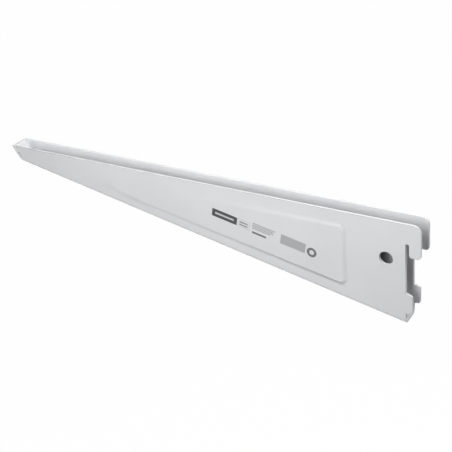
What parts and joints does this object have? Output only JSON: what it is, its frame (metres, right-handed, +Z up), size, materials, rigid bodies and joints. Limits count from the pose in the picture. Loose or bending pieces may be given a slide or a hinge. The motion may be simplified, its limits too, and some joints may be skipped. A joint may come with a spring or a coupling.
{
  "type": "slotted shelf bracket",
  "caption": "Tapered steel shelf bracket folded into an open-topped channel, with hooks and tabs at the rear that hang in the slots of a wall upright.",
  "frame": {"origin": "where the bracket hangs: the front face of the upright, at the height of the hooks' seat, midway between the walls", "axes": "+X runs from the upright to the nose, +Z is up, and the bracket is symmetric about Y = 0"},
  "size_m": [0.2785, 0.0144, 0.0618],
  "materials": {
    "powder_coat": "satin white powder coat"
  },
  "bodies": {
    "root": {"bracket": "powder_coat"}
  },
  "joints": []
}
